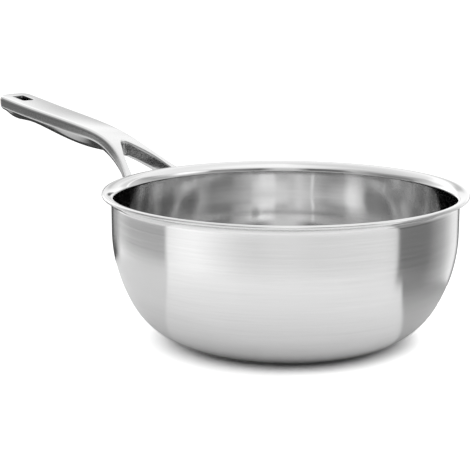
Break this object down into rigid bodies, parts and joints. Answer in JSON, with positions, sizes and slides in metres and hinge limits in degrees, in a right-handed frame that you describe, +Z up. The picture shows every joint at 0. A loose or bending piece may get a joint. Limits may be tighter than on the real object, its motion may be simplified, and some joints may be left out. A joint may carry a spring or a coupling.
{
  "type": "saucier pan",
  "caption": "Round-bottomed saucier with a flared pouring rim, bonded three-layer wall and a cast forked handle welded to its side.",
  "frame": {"origin": "centre of the flat base, on the surface that the pan stands on", "axes": "+Z up along the bowl's axis, +X along the handle from the bowl to its tip"},
  "size_m": [0.4494, 0.2586, 0.1509],
  "materials": {
    "inside_steel": "brushed round the axis",
    "core_aluminium": "plain, sealed inside",
    "outside_steel": "brushed round the axis",
    "cast_steel": "satin",
    "weld_steel": "dull"
  },
  "bodies": {
    "root": {"inner_steel_layer": "inside_steel", "aluminium_core": "core_aluminium", "outer_steel_layer": "outside_steel", "cast_handle": "cast_steel", "handle_welds": "weld_steel"}
  },
  "joints": []
}
